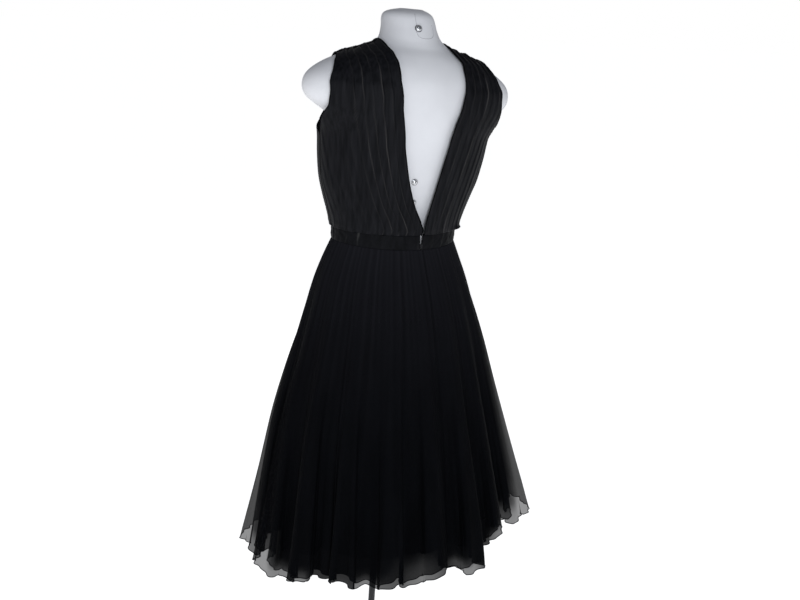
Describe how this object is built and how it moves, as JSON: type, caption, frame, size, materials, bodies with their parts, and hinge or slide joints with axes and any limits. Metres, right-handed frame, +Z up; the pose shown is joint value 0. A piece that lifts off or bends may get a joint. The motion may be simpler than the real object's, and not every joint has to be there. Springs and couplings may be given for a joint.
{
  "type": "evening dress on a limbless dress form with a stand",
  "caption": "Sleeveless open-back evening dress with a pleated bodice, pleated waistband and layered sheer skirt, worn by a limbless dress form on a pole stand.",
  "frame": {"origin": "centre of the stand base's flat underside, on the pole's axis, where it rests on the floor", "axes": "+Z up along the pole; the dress's front faces -Y and its open back faces +Y; the wearer's left is +X"},
  "size_m": [0.5835, 0.5315, 1.4883],
  "materials": {
    "sheer_cloth": "sheer chiffon, matte with a faint sheen",
    "lining_cloth": "opaque lining, softly matte",
    "bodice_cloth": "pleated chiffon over lining",
    "waistband_cloth": "pleated chiffon over a stiffened band",
    "form_shell": "matte white",
    "stud_metal": "satin",
    "closure_metal": "black, satin",
    "stand_metal": "dark grey, satin"
  },
  "bodies": {
    "root": {"stand_base": "stand_metal", "stand_pole": "stand_metal", "form_torso": "form_shell", "form_stud_neck": "stud_metal", "form_stud_back_upper": "stud_metal", "form_stud_back_lower": "stud_metal", "bodice_back_left": "bodice_cloth", "bodice_back_right": "bodice_cloth", "bodice_front": "bodice_cloth", "waistband_back_left": "waistband_cloth", "waistband_front": "waistband_cloth", "waistband_back_right": "waistband_cloth", "skirt_outer_back_left": "sheer_cloth", "skirt_outer_front": "sheer_cloth", "skirt_outer_back_right": "sheer_cloth", "skirt_inner_back_left": "sheer_cloth", "skirt_inner_front": "sheer_cloth", "skirt_inner_back_right": "sheer_cloth", "skirt_lining_back_left": "lining_cloth", "skirt_lining_front": "lining_cloth", "skirt_lining_back_right": "lining_cloth", "hook": "closure_metal", "zip_slider": "closure_metal"}
  },
  "joints": []
}
